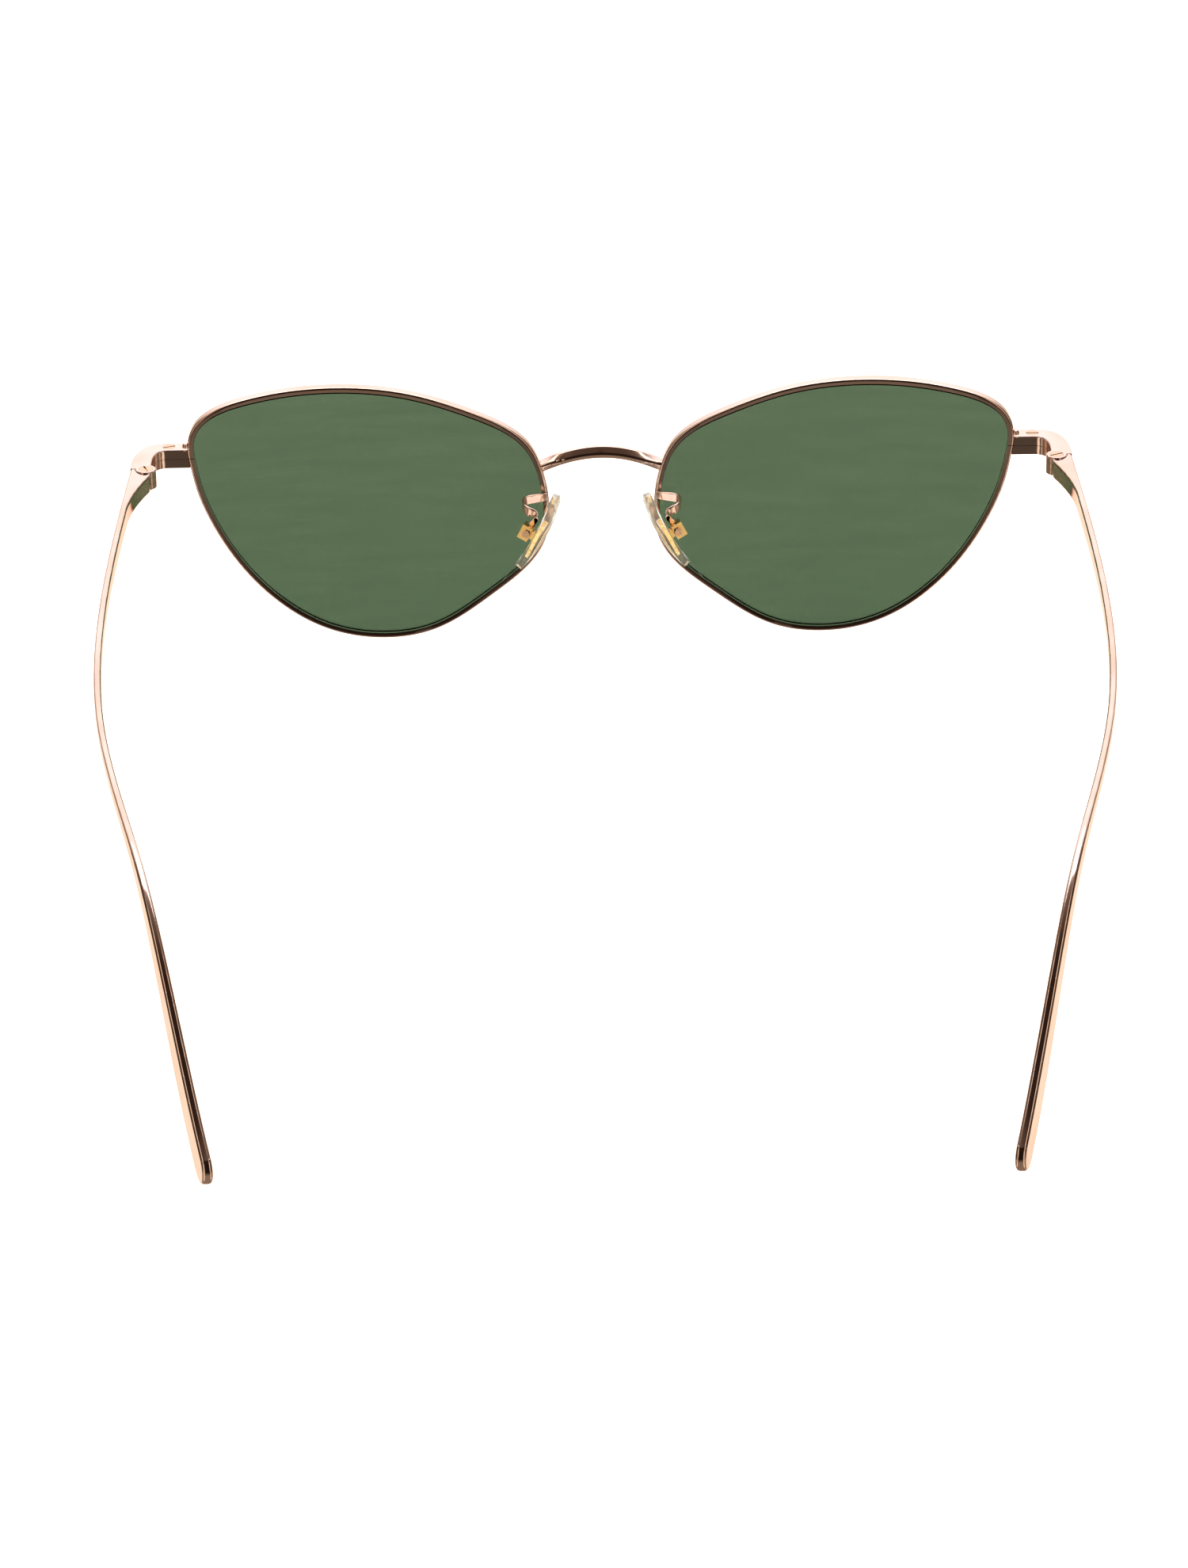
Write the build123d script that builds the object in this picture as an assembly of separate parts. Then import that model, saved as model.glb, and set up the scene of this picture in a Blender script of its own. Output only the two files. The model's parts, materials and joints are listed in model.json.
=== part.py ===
from build123d import *
from math import atan2, cos, degrees, radians, sin
import os

# Cat eye sunglasses in millimetres: a full-rim metal frame with tinted lenses,
# rim-lock endpieces, screw hinges, slim metal temples and screw-on nose pads.
# Worn frame: X to the wearer's left, Y from the front towards the ears, Z up, with
# the front upright and its box centre line at Z = 0. The last step tips the model
# forward so that it stands on its rims and temple tips.

# Lenses and rims
LENS_WIDTH = 55.0        # boxed size, at the peak of the lens bevel
LENS_HEIGHT = 41.7
BRIDGE_WIDTH = 17.5      # between the two lenses
LENS_THICKNESS = 1.9
LENS_RADIUS = 200.0      # front curve of the lens
FACE_FORM = 1.5          # degrees that each lens turns towards the temple
BEVEL_DEPTH = 0.3        # lens edge inside the rim's groove
BEVEL_THICKNESS = 0.7
RIM_WALL = 0.9           # across the rim wire, in the lens plane
RIM_DEPTH = 1.8          # along the line of sight
RIM_PROUD = 0.1          # rim ahead of the lens surface
RIM_EDGE = 0.3           # rounding of the rim wire
RIM_SPLIT = 0.12         # saw cut where the rim opens for the lens
SEAT_CLEARANCE = 0.03    # lens edge to groove

# Bridge
BRIDGE_CROWN = 9.5       # middle of the bar above the centre line
BRIDGE_ARC = 21.0        # radius of its arch
BRIDGE_HEIGHT = 1.5
BRIDGE_DEPTH = 1.9
BRIDGE_EDGE = 0.5

# Endpieces and hinges
HINGE_REACH = 6.25       # hinge axis outboard of the lens
HINGE_BACK = 11.6        # hinge axis behind the lens plane
ENDPIECE_LEVEL = 0.508   # its middle, as a part of half the lens height
ENDPIECE_HEIGHT = 3.0
ENDPIECE_WIDTH = 3.1     # across the flat top
ENDPIECE_TURN = 2.6      # front to start of its turn towards the ear
ENDPIECE_EDGE = 0.12
SPLIT_GAP = 0.06         # between the upper and lower halves
CORNER_REACH = 2.4       # outer corner beyond the hinge axis
KNUCKLE_RADIUS = 1.6
KNUCKLE_HEIGHT = 0.96    # of the temple's middle knuckle
HINGE_GAP = 0.08         # between endpiece and temple
HINGE_SCREW_RADIUS = 0.55
HINGE_SCREW_CLEARANCE = 0.04
HINGE_HEAD_RADIUS = 1.08
HINGE_SCREW_END = 0.45   # thread showing below the lower knuckle
LOCK_SCREW_RADIUS = 0.5
LOCK_HEAD_RADIUS = 0.95
LOCK_FROM_RIM = 2.6      # lock screw axis outboard of the rim
HEAD_DEPTH = 0.42
HEAD_CLEARANCE = 0.03
SLOT_WIDTH = 0.3
SLOT_DEPTH = 0.22

# Temples
TEMPLE_LENGTH = 142.0    # hinge axis to tip, along the temple
LENGTH_TO_BEND = 97.0
BEND_ANGLE = 38.0
BEND_RADIUS = 32.0
PANTOSCOPIC = 10.0       # degrees that the temple slopes down from the front's normal
TEMPLE_THICKNESS = 1.1
TIP_THICKNESS = 1.6
BLOCK_LENGTH = 10.5      # hinge block that narrows into the ribbon
RIBBON_HEIGHT = 2.4
TIP_HEIGHT = 5.4
BLOCK_INSIDE = 0.5       # hinge axis to the inner face of the hinge block
BLOCK_BACK = 2.2         # length of that face behind the hinge axis
TEMPLE_BOW = 2.6         # outward bow of the ribbon beyond the hinge corner
TIP_INSET = 16.6         # tip inboard of the hinge corner
TEMPLE_EDGE = 0.48       # rounding of the ribbon and tip

# Nose pads
PAD_LENGTH = 14.0
PAD_WIDTH = 7.4
PAD_THICKNESS = 1.7
PAD_CURVE = 32.0         # bend of the pad, hollow side outwards
PAD_EDGE = 0.55
PAD_INBOARD = 0.85       # pad centre outboard of the lens's inner edge
PAD_BACK = 8.0
PAD_DROP = -1.3
PAD_FRONTAL = 27.0       # degrees that the pads flare downwards
PAD_SPLAY = 14.0         # degrees that the pads open towards the face
CORE_LENGTH = 6.2
CORE_WIDTH = 4.0
CORE_THICKNESS = 0.5
LUG_THICKNESS = 0.9
LUG_RADIUS = 0.65
LUG_OFFSET = 1.0         # lug below the middle of the pad
BOX_WALL = 0.35
BOX_GAP = 0.1            # between the lug and each wall of the pad box
BOX_LENGTH = 2.35
BOX_STANDOFF = 0.32      # pad to pad box
PAD_SCREW_RADIUS = 0.35
PAD_SCREW_CLEARANCE = 0.04
PAD_HEAD_RADIUS = 0.6
PAD_HEAD_HEIGHT = 0.4
ARM_RADIUS = 0.45
ARM_RISE = 3.8           # foot of the arm above the middle of the pad
ARM_FOOT = 1.17          # straight length off the rim
ARM_CURL = 3.6           # reach of the arm's curl behind the lens
ARM_BACK = 1.8           # and how far back it stands there
ARM_LEAD = 1.5           # straight length into the pad box
ARM_BEND = 0.58          # radius of its bends, along the middle of the wire

# Slot directions of the screws at rest, in degrees.
SLOT_TURNS = (
    ("left", 1, 20, -70),
    ("right", -1, 0, -155),
)

# Bow of the temple from above: share of its run, of TEMPLE_BOW and of TIP_INSET.
TEMPLE_SHAPE = (
    (0.0, 0.0, 0.0),
    (0.09, 0.41, 0.0),
    (0.31, 1.0, 0.0),
    (0.49, 0.46, 0.0),
    (0.61, 0.0, 0.11),
    (0.8, 0.0, 0.51),
    (1.0, 0.0, 1.0),
)
TIP_STARTS = 0.6         # share of the run from which the temple thickens

# Side view of the temple: share of its length, of ENDPIECE_HEIGHT, RIBBON_HEIGHT
# and TIP_HEIGHT that make up its height there.
TEMPLE_HEIGHTS = (
    (0.074, 1.0, 0.0, 0.0),
    (0.185, 0.5, 0.5, 0.0),
    (0.376, 0.0, 1.0, 0.0),
    (0.581, 0.0, 1.0, 0.0),
    (0.683, 0.0, 0.8, 0.2),
    (0.83, 0.0, 0.0, 0.84),
)

# Lens outline as parts of its half width (towards the temple) and half height.
LENS_SHAPE = (
    (1.00, 0.50),
    (0.945, 0.785),
    (0.67, 0.94),
    (0.27, 1.00),
    (-0.22, 0.94),
    (-0.61, 0.77),
    (-0.905, 0.53),
    (-1.00, 0.22),
    (-0.98, -0.26),
    (-0.69, -0.66),
    (-0.33, -0.95),
    (-0.06, -1.00),
    (0.25, -0.92),
    (0.57, -0.64),
    (0.82, -0.21),
    (0.94, 0.14),
)

LENS_CENTRE = (LENS_WIDTH + BRIDGE_WIDTH) / 2
RIM_OUT = RIM_WALL - BEVEL_DEPTH
HINGE_X = BRIDGE_WIDTH / 2 + LENS_WIDTH + HINGE_REACH
CORNER_X = HINGE_X + CORNER_REACH
SPLIT_LEVEL = ENDPIECE_LEVEL * LENS_HEIGHT / 2
ENDPIECE_TOP = SPLIT_LEVEL + ENDPIECE_HEIGHT / 2
ENDPIECE_BOTTOM = SPLIT_LEVEL - ENDPIECE_HEIGHT / 2
OPEN = 1.0               # how far a cutting shape stands out of the metal it opens


def lens_plane():
    """Frame of the left lens: x to the temple, y up, z ahead of the wearer."""
    turn = radians(FACE_FORM)
    return Plane(
        origin=(LENS_CENTRE, 0, 0),
        x_dir=(cos(turn), sin(turn), 0),
        z_dir=(sin(turn), -cos(turn), 0),
    )


def lens_points():
    """Points of the lens outline, fitted to the boxed width and height."""
    box = Spline(LENS_SHAPE, periodic=True).bounding_box()
    middle = box.center()
    return [
        ((u - middle.X) * LENS_WIDTH / box.size.X, (v - middle.Y) * LENS_HEIGHT / box.size.Y)
        for u, v in LENS_SHAPE
    ]


def lens_edge(grow):
    """Closed lens outline, moved outwards by grow, as a face in its own plane."""
    points = lens_points()
    base = Spline(points, periodic=True)
    moved = []
    for point in points:
        run = base.tangent_at(base.param_at_point(Vector(*point)))
        moved.append((point[0] + run.Y * grow, point[1] - run.X * grow))
    return make_face(Spline(moved, periodic=True))


def shell(grow, front, back):
    """Curved plate of the lens outline between two depths ahead of the lens surface."""
    reach = LENS_THICKNESS + RIM_DEPTH + LENS_WIDTH / 4
    prism = extrude(lens_edge(grow), reach, both=True)
    centre = Pos(0, 0, -LENS_RADIUS) * Rot(X=90)
    plate = prism & (centre * Sphere(LENS_RADIUS + front)) - centre * Sphere(LENS_RADIUS + back)
    return lens_plane() * plate


def lens_prism(grow):
    """Everything inside the lens outline, straight through the whole front."""
    return lens_plane() * extrude(lens_edge(grow), LENS_WIDTH / 2, both=True)


def make_lens():
    """Curved lens with a flat-topped bevel round its edge."""
    middle = -LENS_THICKNESS / 2
    plate = shell(-BEVEL_DEPTH - SEAT_CLEARANCE, 0, -LENS_THICKNESS)
    bevel = shell(-SEAT_CLEARANCE, middle + BEVEL_THICKNESS / 2, middle - BEVEL_THICKNESS / 2)
    return plate + bevel


def make_rim():
    """Grooved wire round the lens, with a saw cut at the endpiece."""
    middle = -LENS_THICKNESS / 2
    groove = BEVEL_THICKNESS / 2 + SEAT_CLEARANCE
    wire = shell(RIM_OUT, RIM_PROUD, RIM_PROUD - RIM_DEPTH)
    wire = fillet(wire.edges(), RIM_EDGE) - lens_prism(-BEVEL_DEPTH)
    wire = wire - shell(0, middle + groove, middle - groove)
    cut = Pos(LENS_CENTRE + LENS_WIDTH / 2, 0, SPLIT_LEVEL)
    return wire - cut * Box(LENS_WIDTH / 3, LENS_WIDTH / 2, RIM_SPLIT)


def rim_point(across, up, ahead):
    """Place on the rim, a distance ahead of the lens surface."""
    sag = LENS_RADIUS - (LENS_RADIUS**2 - across**2 - up**2) ** 0.5
    return (lens_plane() * Pos(across, up, ahead - sag)).position


def rim_depth_at(across, up):
    """Y of the middle of the rim wire at a place in the lens plane."""
    return rim_point(across, up, RIM_PROUD - RIM_DEPTH / 2).Y


def make_bridge():
    """Arched bar between the two rims."""
    depth = rim_depth_at(-LENS_WIDTH / 2, BRIDGE_CROWN / 2)
    centre = Pos(0, depth, BRIDGE_CROWN - BRIDGE_ARC)
    outer = centre * (Rot(X=90) * Cylinder(BRIDGE_ARC + BRIDGE_HEIGHT / 2, BRIDGE_DEPTH))
    inner = centre * (Rot(X=90) * Cylinder(BRIDGE_ARC - BRIDGE_HEIGHT / 2, BRIDGE_DEPTH * 2))
    span = Pos(0, depth, BRIDGE_CROWN) * Box(BRIDGE_WIDTH + OPEN * 2, BRIDGE_DEPTH * 2, BRIDGE_ARC)
    bar = outer - inner
    bar = fillet(bar.edges(), BRIDGE_EDGE) & span
    side = lens_prism(RIM_OUT)
    return bar - side - mirror(side, Plane.YZ)


def footprint(outline, low, high):
    """Flat outline in the horizontal plane, raised between two levels."""
    return Pos(0, 0, low) * extrude(outline, high - low)


RIM_SIDE = LENS_WIDTH / 2 + RIM_OUT
RIM_X = (lens_plane() * Pos(RIM_SIDE, 0, 0)).position.X
ENDPIECE_BACK = rim_depth_at(RIM_SIDE, SPLIT_LEVEL) + RIM_DEPTH / 2
ENDPIECE_FRONT = ENDPIECE_BACK - ENDPIECE_WIDTH
LOCK_X = RIM_X + LOCK_FROM_RIM
LOCK_Y = (ENDPIECE_FRONT + ENDPIECE_BACK) / 2
HINGE_AXIS = Pos(HINGE_X, HINGE_BACK, 0)


def endpiece_outline():
    """Ribbon that leaves the rim sideways and turns back to the hinge."""
    root = RIM_X - RIM_WALL
    inner = CORNER_X - ENDPIECE_WIDTH
    turn = RIM_X + ENDPIECE_TURN
    seam = HINGE_BACK - HINGE_GAP / 2
    start = (root, ENDPIECE_FRONT)
    corner = (CORNER_X, seam)
    inside = (inner, seam)
    swing = (inner, seam - KNUCKLE_RADIUS)
    back = (turn, ENDPIECE_BACK)
    lines = [
        Line(start, (turn, ENDPIECE_FRONT)),
        Spline((turn, ENDPIECE_FRONT), corner, tangents=((1, 0), (0, 1))),
        Line(corner, inside),
        Line(inside, swing),
        Spline(swing, back, tangents=((0, -1), (-1, 0))),
        Line(back, (root, ENDPIECE_BACK)),
        Line((root, ENDPIECE_BACK), start),
    ]
    return make_face(Wire(lines))


def endpiece_half(low, high):
    """One half of the endpiece with its knuckle, seated on the rim."""
    outline = endpiece_outline() + HINGE_AXIS * Circle(KNUCKLE_RADIUS)
    body = footprint(outline, ENDPIECE_BOTTOM, ENDPIECE_TOP)
    ends = body.faces().filter_by(Axis.Z)
    body = chamfer(ends.edges(), ENDPIECE_EDGE)
    slot = KNUCKLE_HEIGHT / 2 + HINGE_GAP / 2
    room = footprint(Circle(KNUCKLE_RADIUS + HINGE_GAP), SPLIT_LEVEL - slot, SPLIT_LEVEL + slot)
    body = body - HINGE_AXIS * room - lens_prism(RIM_OUT)
    return body & HINGE_AXIS * footprint(Rectangle(LENS_WIDTH, LENS_WIDTH), low, high)


def bore(radius, low, high):
    return footprint(Circle(radius), low, high)


def make_upper_endpiece():
    body = endpiece_half(SPLIT_LEVEL + SPLIT_GAP / 2, ENDPIECE_TOP)
    hinge_hole = HINGE_SCREW_RADIUS + HINGE_SCREW_CLEARANCE
    lock_hole = LOCK_SCREW_RADIUS + HEAD_CLEARANCE
    seat = ENDPIECE_TOP - HEAD_DEPTH
    for place, hole, head in (
        (HINGE_AXIS, hinge_hole, HINGE_HEAD_RADIUS),
        (Pos(LOCK_X, LOCK_Y, 0), lock_hole, LOCK_HEAD_RADIUS),
    ):
        body = body - place * bore(hole, ENDPIECE_BOTTOM, ENDPIECE_TOP)
        body = body - place * bore(head + HEAD_CLEARANCE, seat, ENDPIECE_TOP + OPEN)
    return body


def make_lower_endpiece():
    body = endpiece_half(ENDPIECE_BOTTOM, SPLIT_LEVEL - SPLIT_GAP / 2)
    body = body - HINGE_AXIS * bore(HINGE_SCREW_RADIUS, ENDPIECE_BOTTOM, ENDPIECE_TOP)
    return body - Pos(LOCK_X, LOCK_Y, 0) * bore(LOCK_SCREW_RADIUS, ENDPIECE_BOTTOM, ENDPIECE_TOP)


def make_screw(place, radius, head_radius, end, slot_turn):
    """Slotted screw with a flush cylindrical head on the endpiece's top."""
    head = bore(head_radius, ENDPIECE_TOP - HEAD_DEPTH, ENDPIECE_TOP)
    shank = bore(radius, end, ENDPIECE_TOP - HEAD_DEPTH)
    slot = Pos(0, 0, ENDPIECE_TOP) * Rot(Z=slot_turn)
    screw = head + shank - slot * Box(head_radius * 3, SLOT_WIDTH, SLOT_DEPTH * 2)
    return place * screw


def temple_line(length):
    """Y, Z and downward angle on the temple's side view, a length from the hinge."""
    arc = BEND_RADIUS * radians(BEND_ANGLE)
    first = LENGTH_TO_BEND - arc / 2
    slope = radians(PANTOSCOPIC)
    straight = min(length, first)
    y = HINGE_BACK + straight * cos(slope)
    z = SPLIT_LEVEL - straight * sin(slope)
    bent = min(max(length - first, 0), arc)
    end = slope + bent / BEND_RADIUS
    y += BEND_RADIUS * (sin(end) - sin(slope))
    z -= BEND_RADIUS * (cos(slope) - cos(end))
    rest = max(length - first - arc, 0)
    return y + rest * cos(end), z - rest * sin(end), end


def temple_side():
    """Side view: hinge block, slim ribbon, bend and flat rounded tip."""
    tip = TIP_HEIGHT / 2
    stations = []
    for share, block, ribbon, end in TEMPLE_HEIGHTS:
        height = block * ENDPIECE_HEIGHT + ribbon * RIBBON_HEIGHT + end * TIP_HEIGHT
        stations.append((share * TEMPLE_LENGTH, height / 2))
    stations.append((TEMPLE_LENGTH - tip, tip))
    upper = []
    lower = []
    for length, half in stations:
        y, z, angle = temple_line(length)
        upper.append((y + half * sin(angle), z + half * cos(angle)))
        lower.append((y - half * sin(angle), z - half * cos(angle)))
    y, z, angle = temple_line(TEMPLE_LENGTH)
    start_top = (HINGE_BACK - KNUCKLE_RADIUS * 2, ENDPIECE_TOP)
    start_low = (HINGE_BACK - KNUCKLE_RADIUS * 2, ENDPIECE_BOTTOM)
    top = (HINGE_BACK, ENDPIECE_TOP)
    low = (HINGE_BACK, ENDPIECE_BOTTOM)
    lines = [
        Line(start_top, top),
        Line(top, upper[0]),
        Spline(upper),
        ThreePointArc(upper[-1], (y, z), lower[-1]),
        Spline(lower[::-1]),
        Line(lower[0], low),
        Line(low, start_low),
        Line(start_low, start_top),
    ]
    return make_face(Wire(lines))


def temple_top():
    """View from above: outer face, tip, inner face and hinge block."""
    seam = HINGE_BACK + HINGE_GAP / 2
    run = temple_line(TEMPLE_LENGTH)[0] + TIP_HEIGHT / 2 - seam
    outer = []
    inner = []
    for share, bow, inset in TEMPLE_SHAPE:
        x = CORNER_X + bow * TEMPLE_BOW - inset * TIP_INSET
        tip_share = max(share - TIP_STARTS, 0) / (1 - TIP_STARTS)
        thick = TEMPLE_THICKNESS + (TIP_THICKNESS - TEMPLE_THICKNESS) * tip_share
        outer.append((x, seam + share * run))
        inner.append((x - thick, seam + share * run))
    inner = inner[1:]
    block = (HINGE_X - BLOCK_INSIDE, HINGE_BACK + BLOCK_BACK)
    inside = (HINGE_X - BLOCK_INSIDE * 2, seam)
    along = (inner[0][0] - inner[1][0], inner[0][1] - inner[1][1])
    lines = [
        Spline(outer),
        Line(outer[-1], inner[-1]),
        Spline(inner[::-1]),
        Spline(inner[0], block, tangents=(along, (-1, -2))),
        Line(block, inside),
        Line(inside, outer[0]),
    ]
    return make_face(Wire(lines))


def make_temple():
    """Hinge block with its middle knuckle, ribbon and tip in one piece."""
    plan = footprint(temple_top(), -TEMPLE_LENGTH, ENDPIECE_TOP + OPEN)
    side = extrude(Plane.YZ * temple_side(), CORNER_X + TEMPLE_BOW * 2)
    body = plan & side
    ribbon = [edge for edge in body.edges() if edge.center().Y > HINGE_BACK + BLOCK_LENGTH]
    body = fillet(ribbon, TEMPLE_EDGE)
    slot = KNUCKLE_HEIGHT / 2
    ring = Circle(KNUCKLE_RADIUS + HINGE_GAP)
    for low, high in (
        (ENDPIECE_BOTTOM - OPEN, SPLIT_LEVEL - slot),
        (SPLIT_LEVEL + slot, ENDPIECE_TOP + OPEN),
    ):
        body = body - HINGE_AXIS * footprint(ring, low, high)
    knuckle = footprint(Circle(KNUCKLE_RADIUS), SPLIT_LEVEL - slot, SPLIT_LEVEL + slot)
    body = body + HINGE_AXIS * knuckle
    hole = HINGE_SCREW_RADIUS + HINGE_SCREW_CLEARANCE
    return body - HINGE_AXIS * bore(hole, ENDPIECE_BOTTOM, ENDPIECE_TOP)


def pad_plane():
    """Frame of the left nose pad: x down its length, z outwards from the nose."""
    frontal = radians(PAD_FRONTAL)
    splay = radians(PAD_SPLAY)
    return Plane(
        origin=(BRIDGE_WIDTH / 2 + PAD_INBOARD, PAD_BACK, PAD_DROP),
        x_dir=(sin(frontal), 0, -cos(frontal)),
        z_dir=(cos(frontal) * cos(splay), -sin(splay), sin(frontal) * cos(splay)),
    )


PAD_FACE = PAD_THICKNESS / 2
LUG_AXIS = PAD_FACE + BOX_STANDOFF + LUG_RADIUS
BOX_INSIDE = LUG_THICKNESS / 2 + BOX_GAP
BOX_HALF = BOX_INSIDE + BOX_WALL
BOX_TOP = LUG_AXIS + LUG_RADIUS + BOX_GAP + BOX_WALL
LUG_PLACE = Pos(LUG_OFFSET, 0, LUG_AXIS)


def across_pad(radius, low, high):
    """Round bar along the pad screw's axis, between two places across the pad."""
    bar = Rot(X=-90) * Cylinder(radius, high - low)
    return LUG_PLACE * Pos(0, (low + high) / 2, 0) * bar


def pad_core():
    """Metal plate inside the pad, with the lug that the screw goes through."""
    plate = extrude(Ellipse(CORE_LENGTH / 2, CORE_WIDTH / 2), CORE_THICKNESS / 2, both=True)
    plate = Pos(LUG_OFFSET, 0, 0) * plate
    stem = Pos(LUG_OFFSET, 0, LUG_AXIS / 2) * Box(LUG_RADIUS * 2, LUG_THICKNESS, LUG_AXIS)
    return plate + stem + across_pad(LUG_RADIUS, -LUG_THICKNESS / 2, LUG_THICKNESS / 2)


def make_pad_core():
    hole = across_pad(PAD_SCREW_RADIUS + PAD_SCREW_CLEARANCE, -PAD_WIDTH, PAD_WIDTH)
    return pad_plane() * (pad_core() - hole)


def make_nose_pad():
    """Soft clear oval moulded round the core, hollow towards the lens."""
    oval = extrude(Ellipse(PAD_LENGTH / 2, PAD_WIDTH / 2), PAD_LENGTH / 4, both=True)
    bend = Pos(0, 0, PAD_CURVE) * Rot(X=90)
    outside = bend * Cylinder(PAD_CURVE + PAD_FACE, PAD_WIDTH * 2)
    inside = bend * Cylinder(PAD_CURVE - PAD_FACE, PAD_WIDTH * 2)
    pad = (oval & outside) - inside
    pad = fillet(pad.edges(), PAD_EDGE)
    return pad_plane() * (pad - pad_core())


def make_pad_box():
    """Clip with two side walls, a roof and an upper end wall round the lug."""
    floor = PAD_FACE + BOX_STANDOFF
    height = BOX_TOP - floor
    centre = Pos(LUG_OFFSET, 0, floor + height / 2)
    block = centre * Box(BOX_LENGTH, BOX_HALF * 2, height)
    room = centre * Pos(BOX_WALL, 0, -BOX_WALL) * Box(BOX_LENGTH, BOX_INSIDE * 2, height)
    hole = across_pad(PAD_SCREW_RADIUS, -PAD_WIDTH, PAD_WIDTH)
    return pad_plane() * (block - room - hole)


def make_pad_screw():
    """Slotted screw through the pad box and the lug, its head facing the wearer."""
    face = BOX_HALF
    shank = across_pad(PAD_SCREW_RADIUS, -face - PAD_HEAD_HEIGHT / 2, face)
    head = across_pad(PAD_HEAD_RADIUS, face, face + PAD_HEAD_HEIGHT)
    slot = Box(PAD_HEAD_RADIUS * 3, SLOT_DEPTH * 2, SLOT_WIDTH)
    slot = LUG_PLACE * Pos(0, face + PAD_HEAD_HEIGHT, 0) * slot
    return pad_plane() * (shank + head - slot)


def make_pad_arm():
    """Round wire from the back of the rim, curled towards the lens, to the pad box."""
    root = rim_point(RIM_WALL / 2 - RIM_SIDE, PAD_DROP + ARM_RISE, RIM_PROUD - RIM_DEPTH)
    behind = (lens_plane() * Pos(0, 0, -LENS_RADIUS)).position - root
    floor = PAD_FACE + BOX_STANDOFF
    end = Pos(LUG_OFFSET - BOX_LENGTH / 2, 0, (floor + BOX_TOP) / 2)
    lift = Pos(-ARM_LEAD, 0, ARM_RADIUS) * end
    points = [
        root,
        root + behind.normalized() * ARM_FOOT,
        root + Vector(ARM_CURL, ARM_BACK, ARM_RADIUS),
        (pad_plane() * lift).position,
        (pad_plane() * end).position,
    ]
    path = FilletPolyline(*points, radius=ARM_BEND)
    start = Plane(origin=path @ 0, z_dir=path % 0)
    wire = sweep(start * Circle(ARM_RADIUS), path=path)
    return wire - make_pad_box()


def rest_tilt(rim, temple):
    """Angle that puts the rim's foot and the temple's tip on one level."""
    tilt = 0.0
    for _ in range(6):
        foot = (Rot(X=tilt) * rim).bounding_box().min
        tip = (Rot(X=tilt) * temple).bounding_box()
        tilt -= degrees(atan2(tip.min.Z - foot.Z, tip.max.Y - foot.Y))
    return tilt


def build():
    """All solids at rest, keyed by node name."""
    rim = make_rim()
    left = {
        "rim": rim,
        "lens": make_lens(),
        "upper_endpiece": make_upper_endpiece(),
        "lower_endpiece": make_lower_endpiece(),
        "temple": make_temple(),
        "pad_arm": make_pad_arm(),
        "pad_box": make_pad_box(),
        "pad_screw": make_pad_screw(),
        "pad_core": make_pad_core(),
        "nose_pad": make_nose_pad(),
    }
    nodes = {"bridge": make_bridge()}
    for name, solid in left.items():
        nodes["left_" + name] = solid
        nodes["right_" + name] = mirror(solid, Plane.YZ)
    lock_end = ENDPIECE_BOTTOM + ENDPIECE_EDGE
    hinge_end = ENDPIECE_BOTTOM - HINGE_SCREW_END
    for side, sign, lock_turn, hinge_turn in SLOT_TURNS:
        place = Pos(sign * LOCK_X, LOCK_Y, 0)
        nodes[side + "_rim_lock_screw"] = make_screw(
            place, LOCK_SCREW_RADIUS, LOCK_HEAD_RADIUS, lock_end, lock_turn
        )
        place = Pos(sign * HINGE_X, HINGE_BACK, 0)
        nodes[side + "_hinge_screw"] = make_screw(
            place, HINGE_SCREW_RADIUS, HINGE_HEAD_RADIUS, hinge_end, hinge_turn
        )
    return nodes


def stand(nodes):
    """Move that tips the model onto its rims and tips, over the origin."""
    turn = Rot(X=rest_tilt(nodes["left_rim"], nodes["left_temple"]))
    box = Compound(children=[turn * solid for solid in nodes.values()]).bounding_box()
    middle = box.center()
    return Pos(-middle.X, -middle.Y, -box.min.Z) * turn


if __name__ == "__main__":
    os.makedirs("parts", exist_ok=True)
    nodes = build()
    rest = stand(nodes)
    for name, solid in nodes.items():
        export_step(rest * solid, "parts/" + name + ".step")
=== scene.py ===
import json
import math

import bpy
import numpy
from mathutils import Matrix, Quaternion, Vector


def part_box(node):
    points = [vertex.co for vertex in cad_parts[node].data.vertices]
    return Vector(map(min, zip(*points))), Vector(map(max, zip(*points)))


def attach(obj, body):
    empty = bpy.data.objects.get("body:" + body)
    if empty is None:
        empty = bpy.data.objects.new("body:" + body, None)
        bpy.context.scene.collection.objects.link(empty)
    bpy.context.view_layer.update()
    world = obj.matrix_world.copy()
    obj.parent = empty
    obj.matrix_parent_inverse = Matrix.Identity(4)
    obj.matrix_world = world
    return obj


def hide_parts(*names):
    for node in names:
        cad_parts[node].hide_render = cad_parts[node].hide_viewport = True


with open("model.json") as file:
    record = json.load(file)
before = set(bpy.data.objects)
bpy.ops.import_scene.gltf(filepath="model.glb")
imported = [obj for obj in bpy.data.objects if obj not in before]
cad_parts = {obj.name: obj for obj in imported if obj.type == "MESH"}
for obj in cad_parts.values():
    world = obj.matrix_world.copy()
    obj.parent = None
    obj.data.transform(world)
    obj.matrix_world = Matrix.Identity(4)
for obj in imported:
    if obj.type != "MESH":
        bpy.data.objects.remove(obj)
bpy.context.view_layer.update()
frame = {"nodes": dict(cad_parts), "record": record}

# Rims and bridge: drawn wire of a nickel alloy, the rims rolled with a groove for the lens
# and bent to a template, the bridge pressed to an arch and soldered between them. All is
# tumbled bright and plated with pale rose gold.
MM = 0.001
SIDES = ("left", "right")
ROSE_GOLD = "#F2D3C8"
ROSE_GOLD_THIN = "#E9C0AE"
POLISH_GRAIN_MM = 0.35
WIPE_MARKS_MM = 3.6
WIPE_STRETCH = 6.0
THIN_COAT_PATCH_MM = 9.0
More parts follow.
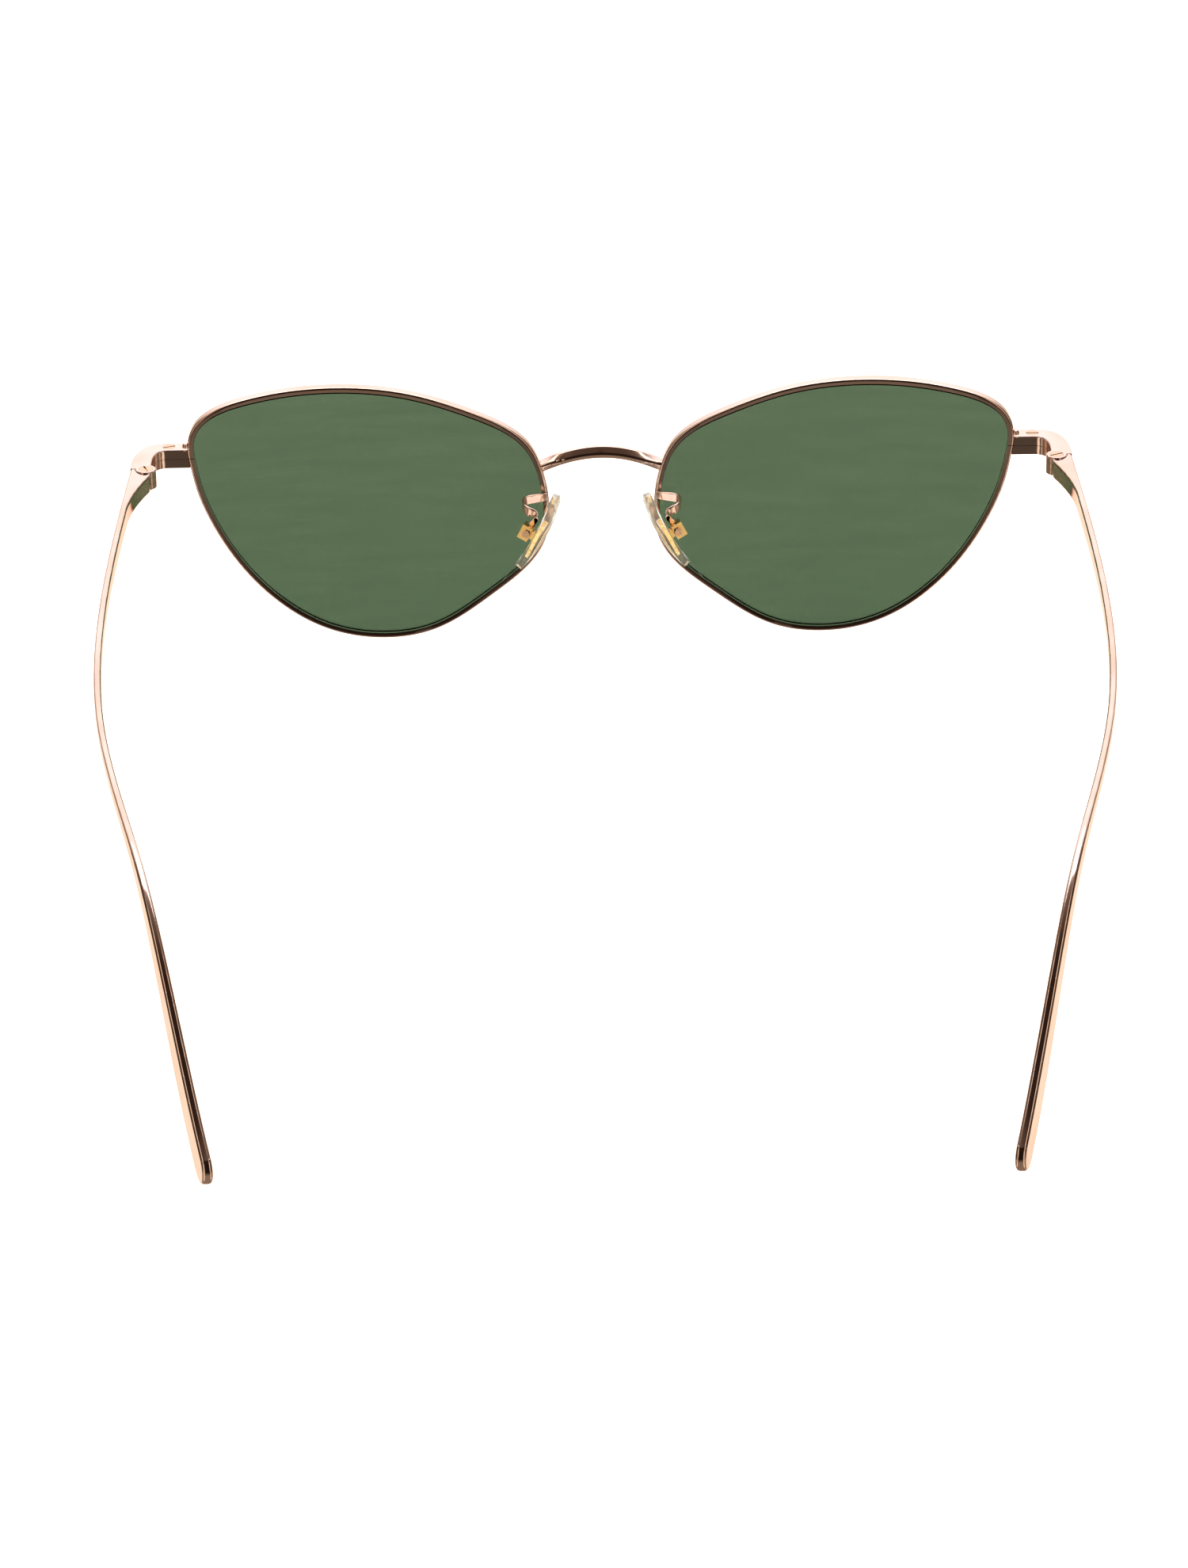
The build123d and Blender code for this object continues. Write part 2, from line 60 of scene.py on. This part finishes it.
GRAIN_HEIGHT_MM = 0.01
GRAIN_STRENGTH = 0.02
METAL_CREASE = 38
SEAM = 0.002 * MM


def linear(hex_colour):
    """Linear RGBA of an sRGB hex colour."""
    shares = [int(hex_colour[i:i + 2], 16) / 255 for i in (1, 3, 5)]
    return [c / 12.92 if c <= 0.04045 else ((c + 0.055) / 1.055) ** 2.4 for c in shares] + [1.0]


def add(material, kind, settings=None, inputs=None, links=()):
    """Adds one node with its settings; links are (source socket, input name) pairs."""
    tree = material.node_tree
    node = tree.nodes.new(kind)
    for name, value in (settings or {}).items():
        setattr(node, name, value)
    for name, value in (inputs or {}).items():
        node.inputs[name].default_value = value
    for source, name in links:
        tree.links.new(source, node.inputs[name])
    return node


def empty_material(name):
    material = bpy.data.materials.new(name)
    material.use_nodes = True
    material.node_tree.nodes.clear()
    return material


def polished_plating(name, colour, thin, dull=0.05, worn=0.12):
    """Mirror-polished galvanic plating: fine buffing grain, faint wipe marks and
    a slightly redder colour where the coat is thin."""
    plating = empty_material(name)
    place = add(plating, "ShaderNodeTexCoord")
    grain = add(plating, "ShaderNodeTexNoise", None,
                {"Scale": 1 / (POLISH_GRAIN_MM * MM), "Detail": 4.0, "Roughness": 0.6},
                [(place.outputs["Object"], "Vector")])
    stretch = add(plating, "ShaderNodeMapping", None,
                  {"Scale": (1.0, WIPE_STRETCH, WIPE_STRETCH)},
                  [(place.outputs["Object"], "Vector")])
    wipes = add(plating, "ShaderNodeTexNoise", None,
                {"Scale": 1 / (WIPE_MARKS_MM * MM), "Detail": 5.0, "Roughness": 0.7},
                [(stretch.outputs["Vector"], "Vector")])
    thickness = add(plating, "ShaderNodeTexNoise", None,
                    {"Scale": 1 / (THIN_COAT_PATCH_MM * MM), "Detail": 2.0},
                    [(place.outputs["Object"], "Vector")])
    share = add(plating, "ShaderNodeMapRange", None, {"From Min": 0.4, "From Max": 0.75},
                [(thickness.outputs["Fac"], "Value")])
    tone = add(plating, "ShaderNodeMix", {"data_type": "RGBA"}, None,
               [(share.outputs["Result"], "Factor")])
    tone.inputs[6].default_value = linear(colour)
    tone.inputs[7].default_value = linear(thin)
    rough = add(plating, "ShaderNodeMapRange", None,
                {"From Min": 0.4, "From Max": 0.7, "To Min": dull, "To Max": worn},
                [(wipes.outputs["Fac"], "Value")])
    bump = add(plating, "ShaderNodeBump", None,
               {"Strength": GRAIN_STRENGTH, "Distance": GRAIN_HEIGHT_MM * MM},
               [(grain.outputs["Fac"], "Height")])
    shader = add(plating, "ShaderNodeBsdfPrincipled", None, {"Metallic": 1.0},
                 [(tone.outputs[2], "Base Color"), (rough.outputs["Result"], "Roughness"),
                  (bump.outputs["Normal"], "Normal")])
    add(plating, "ShaderNodeOutputMaterial", None, None, [(shader.outputs["BSDF"], "Surface")])
    return plating


def alone(piece):
    """Leaves only this piece selected and active."""
    bpy.ops.object.select_all(action="DESELECT")
    piece.select_set(True)
    bpy.context.view_layer.objects.active = piece


def seamless_copy(node, name, angle):
    """Own copy of a CAD node with its triangles joined up and smooth up to an angle."""
    alone(frame["nodes"][node])
    bpy.ops.object.duplicate()
    piece = bpy.context.active_object
    piece.name = name
    bpy.ops.mesh.customdata_custom_splitnormals_clear()
    bpy.ops.object.mode_set(mode="EDIT")
    bpy.ops.mesh.select_all(action="SELECT")
    bpy.ops.mesh.remove_doubles(threshold=SEAM)
    bpy.ops.mesh.dissolve_degenerate(threshold=SEAM)
    bpy.ops.object.mode_set(mode="OBJECT")
    bpy.ops.object.shade_smooth_by_angle(angle=math.radians(angle))
    return piece


def fit(piece, finish, body, node=None):
    """Plates or colours a piece, and hangs it on its body in place of its CAD node."""
    piece.data.materials.clear()
    piece.data.materials.append(finish)
    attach(piece, body)
    if node:
        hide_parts(node)


def buffed_copy(node, name, body):
    """Copy of a metal CAD node, with its rounded edges buffed into its faces."""
    piece = seamless_copy(node, name, METAL_CREASE)
    buffing = piece.modifiers.new("buffing", "WEIGHTED_NORMAL")
    buffing.keep_sharp = True
    bpy.ops.object.modifier_apply(modifier="buffing")
    fit(piece, rose_plating, body, node)
    return piece


# Polished rose gold plate: a clear mirror with soft, pinkish reflections.
rose_plating = polished_plating("pale_rose_gold_plating", ROSE_GOLD, ROSE_GOLD_THIN)
for side in SIDES:
    buffed_copy(side + "_rim", side + "_rim_wire", "front")

# The bridge's flat back is turned up in the middle and upright at its soldered ends.
BRIDGE_TURN = math.radians(-46)
TURN_FADE = 6
bridge = buffed_copy("bridge", "bridge_bar", "front")
points = numpy.array([vertex.co for vertex in bridge.data.vertices])
half_span = abs(points[:, 0]).max()
arch = numpy.polyfit(points[:, 0], points[:, 1:], 4)
for vertex in bridge.data.vertices:
    x, y, z = vertex.co
    y_mid, z_mid = (float(numpy.polyval(arch[:, i], x)) for i in (0, 1))
    turn = BRIDGE_TURN * (1 - (abs(x) / half_span) ** TURN_FADE)
    y, z = y - y_mid, z - z_mid
    vertex.co = (x, y_mid + y * math.cos(turn) - z * math.sin(turn),
                 z_mid + y * math.sin(turn) + z * math.cos(turn))

# Sun lenses: grey green tinted glass, ground and polished on both faces, bevelled at the
# edge and sprung into the rims' grooves before the lock screws close them.
LENS_TINT = "#42523D"
LENS_SMEAR = "#485842"
LENS_DUST = "#1F271C"
DUST_SPACING_MM = 5.0
DUST_GRAIN_MM = 0.11
SMEAR_LONG_MM = 16.67
SMEAR_HIGH_MM = 1.25
LENS_CREASE = 25
# Crown glass dyed through: a deep even colour, so that each pass through a face takes
# half of it, with faint wiping smears and a few specks of dust.
lens_glass = empty_material("grey_green_tinted_glass")
place = add(lens_glass, "ShaderNodeTexCoord")
along, upright = 1 / (SMEAR_LONG_MM * MM), 1 / (SMEAR_HIGH_MM * MM)
smear = add(lens_glass, "ShaderNodeMapping", None, {"Scale": (along, along, upright)},
            [(place.outputs["Object"], "Vector")])
smears = add(lens_glass, "ShaderNodeTexNoise", None,
             {"Scale": 1.0, "Detail": 5.0, "Roughness": 0.65},
             [(smear.outputs["Vector"], "Vector")])
smear_rough = add(lens_glass, "ShaderNodeMapRange", None,
                  {"From Min": 0.5, "From Max": 0.8, "To Min": 0.0, "To Max": 0.06},
                  [(smears.outputs["Fac"], "Value")])
streaks = add(lens_glass, "ShaderNodeMapRange", None, {"From Min": 0.42, "From Max": 0.72},
              [(smears.outputs["Fac"], "Value")])
wiped = add(lens_glass, "ShaderNodeMix", {"data_type": "RGBA"}, None,
            [(streaks.outputs["Result"], "Factor")])
wiped.inputs[6].default_value = linear(LENS_TINT)
wiped.inputs[7].default_value = linear(LENS_SMEAR)
dust = add(lens_glass, "ShaderNodeTexVoronoi", None, {"Scale": 1 / (DUST_SPACING_MM * MM)},
           [(place.outputs["Object"], "Vector")])
grains = add(lens_glass, "ShaderNodeMapRange", None,
             {"From Min": DUST_GRAIN_MM / DUST_SPACING_MM,
              "From Max": 0.5 * DUST_GRAIN_MM / DUST_SPACING_MM},
             [(dust.outputs["Distance"], "Value")])
dusty = add(lens_glass, "ShaderNodeMix", {"data_type": "RGBA"}, None,
            [(grains.outputs["Result"], "Factor"), (wiped.outputs[2], 6)])
dusty.inputs[7].default_value = linear(LENS_DUST)
shader = add(lens_glass, "ShaderNodeBsdfPrincipled", None,
             {"Transmission Weight": 1.0, "IOR": 1.5},
             [(dusty.outputs[2], "Base Color"), (smear_rough.outputs["Result"], "Roughness")])
add(lens_glass, "ShaderNodeOutputMaterial", None, None, [(shader.outputs["BSDF"], "Surface")])
for side in SIDES:
    lens = seamless_copy(side + "_lens", side + "_sun_lens", LENS_CREASE)
    fit(lens, lens_glass, "front", side + "_lens")

# Endpieces: nickel alloy blocks milled in two halves, one soldered to each side of the
# rim's saw cut, so that the lock screw between them closes the rim on its lens.


def dress(part, material):
    """Gives the left and the right CAD node of one part their real finish."""
    for side in SIDES:
        for slot in frame["nodes"][side + "_" + part].material_slots:
            slot.material = material


for part in ("upper_endpiece", "lower_endpiece"):
    dress(part, rose_plating)

# Solder beads: small balls of silver solder, plated over, where each endpiece meets the
# rim. The solder has flowed out to a wider foot at the bottom.
BEAD = 0.5 * MM
BEAD_SQUASH = 0.85
FOOT_FROM = -0.4
FOOT_SPREAD = (1.3, 1.3, 0.8)
BEAD_FROM_CORNER = Vector((0.3, 3.2, -0.2)) * MM
low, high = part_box("left_upper_endpiece")
for side, sign in (("left", 1), ("right", -1)):
    bpy.ops.object.select_all(action="DESELECT")
    bpy.ops.mesh.primitive_uv_sphere_add(segments=24, ring_count=12, radius=BEAD)
    ball = bpy.context.active_object
    ball.name = side + "_endpiece_bead"
    bpy.ops.object.mode_set(mode="EDIT")
    bpy.ops.mesh.select_all(action="SELECT")
    bpy.ops.transform.resize(value=(1.0, 1.0, BEAD_SQUASH))
    bpy.ops.mesh.select_all(action="DESELECT")
    bpy.ops.mesh.select_mode(type="VERT")
    bpy.ops.object.mode_set(mode="OBJECT")
    for vertex in ball.data.vertices:
        vertex.select = vertex.co.z < FOOT_FROM * BEAD
    bpy.ops.object.mode_set(mode="EDIT")
    bpy.ops.transform.resize(value=FOOT_SPREAD)
    bpy.ops.mesh.select_all(action="SELECT")
    corner = Vector((low[0], low[1], high[2])) + BEAD_FROM_CORNER
    bpy.ops.transform.translate(value=(sign * corner.x, corner.y, corner.z))
    bpy.ops.object.mode_set(mode="OBJECT")
    bpy.ops.object.shade_smooth()
    fit(ball, rose_plating, "front")

# Temples: each a flat strip of nickel alloy, with its hinge knuckle soldered on, rolled
# wider towards the tip and bent down behind the ear. It is plated in one bath with the rims.
for side in SIDES:
    buffed_copy(side + "_temple", side + "_temple_arm", side + "_side")

# Screws: turned from steel bar and slotted, then plated. They close the rims, join the
# temples to the endpieces and hold the pads in their boxes.
SCREW_PLATE = "#E6C2A6"
SCREW_PLATE_THIN = "#D2A684"
# Plated turned steel: a duller, yellower shine than the frame's.
screw_plating = polished_plating("turned_plated_steel", SCREW_PLATE, SCREW_PLATE_THIN,
                                 dull=0.12, worn=0.25)
for part in ("rim_lock_screw", "hinge_screw", "pad_screw"):
    dress(part, screw_plating)

# Pad arms: round wire rolled flat to a ribbon, soldered to the back of the rim, curled
# out behind the lens and back, then drawn narrow down to the pad box. Plated with the rims.
ARM_WIDE = 1.65 * MM
ARM_THICK = 0.46 * MM
ARM_LEG = 0.62
# Places on the path as shares of the box that the arm fills, with its width there.
ARM_PATH = (
    ((0.13, 0.04, 0.72), 0.8),
    ((0.42, 0.16, 0.74), 1.0),
    ((0.90, 0.20, 0.76), 1.0),
    ((1.02, 0.50, 0.74), 1.0),
    ((0.84, 0.80, 0.68), 1.0),
    ((0.46, 0.80, 0.56), 0.85),
    ((0.50, 0.92, 0.32), ARM_LEG),
    ((0.72, 0.92, 0.06), ARM_LEG),
)
low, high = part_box("left_pad_arm")
for side, sign in (("left", 1), ("right", -1)):
    bpy.ops.object.select_all(action="DESELECT")
    bpy.ops.curve.primitive_nurbs_path_add()
    arm = bpy.context.active_object
    arm.name = side + "_arm_ribbon"
    wire = arm.data
    wire.splines.clear()
    run = wire.splines.new("NURBS")
    run.points.add(len(ARM_PATH) - 1)
    for point, (shares, width) in zip(run.points, ARM_PATH):
        x, y, z = (a + share * (b - a) for a, b, share in zip(low, high, shares))
        point.co = (sign * x, y, z, 1.0)
        point.radius = width
    run.order_u = 4
    run.use_endpoint_u = True
    wire.dimensions = "3D"
    wire.twist_mode = "Z_UP"
    wire.resolution_u = 10
    wire.extrude = (ARM_WIDE - ARM_THICK) / 2
    wire.bevel_depth = ARM_THICK / 2
    wire.bevel_resolution = 5
    wire.use_fill_caps = True
    alone(arm)
    bpy.ops.object.convert(target="MESH")
    bpy.ops.object.mode_set(mode="EDIT")
    bpy.ops.mesh.select_all(action="SELECT")
    bpy.ops.mesh.remove_doubles(threshold=0.001 * MM)
    bpy.ops.mesh.normals_make_consistent(inside=False)
    bpy.ops.object.mode_set(mode="OBJECT")
    bpy.ops.object.shade_smooth_by_angle(angle=math.radians(40))
    fit(arm, rose_plating, "front", side + "_pad_arm")

# Pad boxes and cores: small pressings of brass, plated yellow gold. The box is soldered to
# the arm and its edges are tumbled round; the core is moulded into the pad and shows
# through it.
YELLOW_GOLD = "#F3D190"
YELLOW_GOLD_THIN = "#E0B060"
BOX_ROUNDING = 0.27 * MM
BOX_CREASE = 30
# Yellow gold plate: a warmer mirror than the frame's, a little duller from handling.
yellow_plating = polished_plating("yellow_gold_plating", YELLOW_GOLD, YELLOW_GOLD_THIN,
                                  dull=0.08, worn=0.16)
dress("pad_core", yellow_plating)
for side in SIDES:
    box = seamless_copy(side + "_pad_box", side + "_rounded_box", BOX_CREASE)
    bpy.ops.object.mode_set(mode="EDIT")
    bpy.ops.mesh.select_all(action="SELECT")
    bpy.ops.mesh.dissolve_limited(angle_limit=math.radians(4))
    bpy.ops.object.mode_set(mode="OBJECT")
    tumbling = box.modifiers.new("tumbling", "BEVEL")
    tumbling.width = BOX_ROUNDING
    tumbling.segments = 3
    tumbling.limit_method = "ANGLE"
    tumbling.angle_limit = math.radians(50)
    bpy.ops.object.modifier_apply(modifier="tumbling")
    bpy.ops.object.shade_smooth_by_angle(angle=math.radians(40))
    fit(box, yellow_plating, "front", side + "_pad_box")

# Nose pads: clear silicone moulded over the cores, oval, thinner towards the edge and bent
# to lie along the nose. Each hangs on its box by the core's lug and the pad screw.
PAD_LENGTH = 13.6 * MM
PAD_WIDTH = 6.8 * MM
PAD_THICKNESS = 1.7 * MM
PAD_ROUNDING = 0.83 * MM
PAD_MARGIN = PAD_ROUNDING * 1.3
PAD_RING = PAD_WIDTH / 12
PAD_THINNING = 0.4
PAD_CURVE = 32.0 * MM
PAD_FRONTAL = math.radians(27)
PAD_SPLAY = math.radians(14)
REST_TILT = math.radians(8.157)
LUG_DOWN = 1.0 * MM
LUG_OUT = 2.02 * MM
HAZE_MM = 2.5
# Clear silicone: see-through and slightly milky, with a soft wet gloss.
silicone = empty_material("clear_silicone")
place = add(silicone, "ShaderNodeTexCoord")
haze = add(silicone, "ShaderNodeTexNoise", None, {"Scale": 1 / (HAZE_MM * MM), "Detail": 3.0},
           [(place.outputs["Object"], "Vector")])
haze_rough = add(silicone, "ShaderNodeMapRange", None,
                 {"From Min": 0.3, "From Max": 0.7, "To Min": 0.04, "To Max": 0.16},
                 [(haze.outputs["Fac"], "Value")])
shader = add(silicone, "ShaderNodeBsdfPrincipled", None,
             {"Base Color": linear("#F8F4EC"), "Transmission Weight": 0.86, "IOR": 1.43,
              "Subsurface Weight": 0.2, "Subsurface Radius": (0.004, 0.0035, 0.003)},
             [(haze_rough.outputs["Result"], "Roughness")])
add(silicone, "ShaderNodeOutputMaterial", None, None, [(shader.outputs["BSDF"], "Surface")])

joints = {joint["name"]: joint for joint in frame["record"]["behaviour"]["joints"]}
lug = Vector(joints["left_pad_rock"]["pos_m"])
down = Vector((math.sin(PAD_FRONTAL), 0, -math.cos(PAD_FRONTAL)))
out = Vector((math.cos(PAD_FRONTAL) * math.cos(PAD_SPLAY), -math.sin(PAD_SPLAY),
              math.sin(PAD_FRONTAL) * math.cos(PAD_SPLAY)))
stance = Matrix((down, out.cross(down), out)).transposed()
stance = Matrix.Rotation(REST_TILT, 3, "X") @ stance
pad_middle = lug - stance @ Vector((LUG_DOWN, 0, LUG_OUT))
for side in SIDES:
    bpy.ops.object.select_all(action="DESELECT")
    bpy.ops.mesh.primitive_cylinder_add(vertices=64, radius=0.5, depth=PAD_THICKNESS)
    pad = bpy.context.active_object
    pad.name = side + "_soft_pad"
    bpy.ops.object.mode_set(mode="EDIT")
    bpy.ops.mesh.select_all(action="SELECT")
    bpy.ops.transform.resize(value=(PAD_LENGTH, PAD_WIDTH, 1.0))
    bpy.ops.mesh.select_all(action="DESELECT")
    bpy.ops.mesh.select_mode(type="FACE")
    bpy.ops.object.mode_set(mode="OBJECT")
    for face in pad.data.polygons:
        face.select = abs(face.normal.z) > 0.9
    bpy.ops.object.mode_set(mode="EDIT")
    bpy.ops.mesh.inset(thickness=PAD_MARGIN)
    for _ in range(3):
        bpy.ops.mesh.inset(thickness=PAD_RING)
    bpy.ops.object.mode_set(mode="OBJECT")
    edge = pad.modifiers.new("soft_edge", "BEVEL")
    edge.width = PAD_ROUNDING
    edge.segments = 6
    edge.limit_method = "ANGLE"
    edge.angle_limit = math.radians(60)
    bpy.ops.object.modifier_apply(modifier="soft_edge")
    for vertex in pad.data.vertices:
        outward = math.hypot(2 * vertex.co.x / PAD_LENGTH, 2 * vertex.co.y / PAD_WIDTH)
        vertex.co.z *= 1 - PAD_THINNING * min(outward, 1.0) ** 3
        angle = vertex.co.x / PAD_CURVE
        reach = PAD_CURVE - vertex.co.z
        vertex.co = (reach * math.sin(angle), vertex.co.y, PAD_CURVE - reach * math.cos(angle))
    pad.data.transform(Matrix.Translation(pad_middle) @ stance.to_4x4())
    if side == "right":
        pad.data.transform(Matrix.Scale(-1, 4, (1, 0, 0)))
        pad.data.flip_normals()
    bpy.ops.object.shade_smooth_by_angle(angle=math.radians(50))
    fit(pad, silicone, side + "_pad", side + "_nose_pad")

# Studio: a pale seamless sweep of paper. The polished metal reflects a white light tent
# over and beyond the object and the dark side where the camera stands, not the sweep.
SWEEP_RADIUS = 4.0
SWEEP_WALL = 5.0
SWEEP_GLOW = 1.15
bpy.ops.object.select_all(action="DESELECT")
bpy.ops.mesh.primitive_cylinder_add(vertices=96, radius=SWEEP_RADIUS, depth=SWEEP_WALL,
                                    location=(0, 0, SWEEP_WALL / 2))
sweep = bpy.context.active_object
sweep.name = "sweep"
# Lit white background paper: flat and even, with no grain to see from here.
paper = empty_material("white_sweep_paper")
shader = add(paper, "ShaderNodeBsdfPrincipled", None,
             {"Base Color": linear("#F2F2F2"), "Roughness": 0.7,
              "Emission Color": linear("#FFFFFF"), "Emission Strength": SWEEP_GLOW})
add(paper, "ShaderNodeOutputMaterial", None, None, [(shader.outputs["BSDF"], "Surface")])
sweep.data.materials.append(paper)
sweep.visible_glossy = False
sweep.visible_diffuse = False
sweep.visible_shadow = False

# The tent is white at its top and far side and dark at the camera's side. Upright slits
# between its panels, behind the object, and a warm bounce from below stripe the metal.
TENT_TOP = (0.0, -0.8, 0.6)
TENT_BANDS = ((0.0, "#1E1713"), (0.3, "#1C1310"), (0.62, "#2A1F1A"), (0.78, "#6E6258"),
              (0.88, "#E2DCD6"), (0.95, "#FFFFFF"), (1.0, "#FFFFFF"))
SLIT_BANDS = ((0.0, "#000000"), (0.2, "#000000"), (0.34, "#2C261C"), (0.42, "#D8CCB4"),
              (0.6, "#E2D8C8"), (0.66, "#3A3226"), (0.78, "#2A241A"), (0.84, "#A89A80"),
              (0.92, "#2A2620"), (1.0, "#000000"))
LOW_BOUNCE = (0.95, 0.82, 0.62)
FAR_BOUNCE = (1.0, 0.86, 0.68)
# Each glow starts at one share of the way to its side and is full at the next.
SLITS_REACH = {"From Min": 0.0, "From Max": 0.3}
LOW_REACH = {"From Min": -0.16, "From Max": -0.55, "To Max": 0.19}
FAR_REACH = {"From Min": -0.3, "From Max": -0.62, "To Max": 0.62}
UNDER_REACH = {"From Min": 0.0, "From Max": -0.4}
TENT_GLOW = 1.35


def set_bands(ramp, bands):
    """Sets a colour ramp's stops; its first and last are the two that it starts with."""
    stops = ramp.color_ramp.elements
    for at, colour in bands[1:-1]:
        stops.new(at).color = linear(colour)
    stops[0].color = linear(bands[0][1])
    stops[len(bands) - 1].color = linear(bands[-1][1])


tent = bpy.data.worlds.new("light_tent")
bpy.context.scene.world = tent
tent.use_nodes = True
tent.node_tree.nodes.clear()
where = add(tent, "ShaderNodeTexCoord")
parts = add(tent, "ShaderNodeSeparateXYZ", None, None, [(where.outputs["Generated"], "Vector")])
lit = add(tent, "ShaderNodeVectorMath", {"operation": "DOT_PRODUCT"}, None,
          [(where.outputs["Generated"], 0)])
lit.inputs[1].default_value = TENT_TOP
share = add(tent, "ShaderNodeMapRange", None, {"From Min": -1.0, "From Max": 1.0},
            [(lit.outputs["Value"], "Value")])
ramp = add(tent, "ShaderNodeValToRGB", None, None, [(share.outputs["Result"], "Fac")])
set_bands(ramp, TENT_BANDS)
sideways = add(tent, "ShaderNodeMath", {"operation": "ABSOLUTE"}, None, [(parts.outputs["X"], 0)])
slits = add(tent, "ShaderNodeValToRGB", None, None, [(sideways.outputs["Value"], "Fac")])
set_bands(slits, SLIT_BANDS)
behind = add(tent, "ShaderNodeMapRange", None, SLITS_REACH, [(parts.outputs["Y"], "Value")])
slits_behind = add(tent, "ShaderNodeVectorMath", {"operation": "SCALE"}, None,
                   [(slits.outputs["Color"], 0), (behind.outputs["Result"], "Scale")])
below = add(tent, "ShaderNodeMapRange", None, LOW_REACH, [(parts.outputs["Z"], "Value")])
low_bounce = add(tent, "ShaderNodeVectorMath", {"operation": "SCALE"}, None,
                 [(below.outputs["Result"], "Scale")])
low_bounce.inputs[0].default_value = LOW_BOUNCE
far = add(tent, "ShaderNodeMapRange", None, FAR_REACH, [(parts.outputs["Y"], "Value")])
under = add(tent, "ShaderNodeMapRange", None, UNDER_REACH, [(parts.outputs["Z"], "Value")])
far_under = add(tent, "ShaderNodeMath", {"operation": "MULTIPLY"}, None,
                [(far.outputs["Result"], 0), (under.outputs["Result"], 1)])
far_bounce = add(tent, "ShaderNodeVectorMath", {"operation": "SCALE"}, None,
                 [(far_under.outputs["Value"], "Scale")])
far_bounce.inputs[0].default_value = FAR_BOUNCE
glow = ramp.outputs["Color"]
for part in (far_bounce, low_bounce, slits_behind):
    total = add(tent, "ShaderNodeVectorMath", {"operation": "ADD"}, None,
                [(glow, 0), (part.outputs["Vector"], 1)])
    glow = total.outputs["Vector"]
background = add(tent, "ShaderNodeBackground", None, {"Strength": TENT_GLOW}, [(glow, "Color")])
add(tent, "ShaderNodeOutputWorld", None, None, [(background.outputs["Background"], "Surface")])

# One softbox over the tent, a little in front of the object and tipped towards it.
SOFTBOX_PLACE = (0, -0.4, 1.2)
SOFTBOX_TIP = math.radians(-18)
SOFTBOX_SIZE = (1.2, 0.8)
SOFTBOX_WATTS = 5
bpy.ops.object.light_add(type="AREA", location=SOFTBOX_PLACE, rotation=(SOFTBOX_TIP, 0, 0))
softbox = bpy.context.active_object
softbox.data.shape = "RECTANGLE"
softbox.data.size, softbox.data.size_y = SOFTBOX_SIZE
softbox.data.energy = SOFTBOX_WATTS

# Camera behind and above, with a long lens, level but for a slight roll.
ELEVATION = math.radians(35)
ROLL = math.radians(0.93)
DISTANCE = 0.8
FOCAL_MM = 125
AIM = Vector((0.0019, -0.0024, 0.0150))
back = Vector((0, math.cos(ELEVATION), math.sin(ELEVATION)))
bpy.ops.object.camera_add(location=AIM + back * DISTANCE)
camera = bpy.context.active_object
camera.rotation_mode = "QUATERNION"
camera.rotation_quaternion = (-back).to_track_quat("-Z", "Y") @ Quaternion((0, 0, 1), -ROLL)
camera.data.lens = FOCAL_MM
camera.data.clip_start = 0.01
bpy.context.scene.camera = camera
bpy.context.scene.view_settings.view_transform = "Standard"
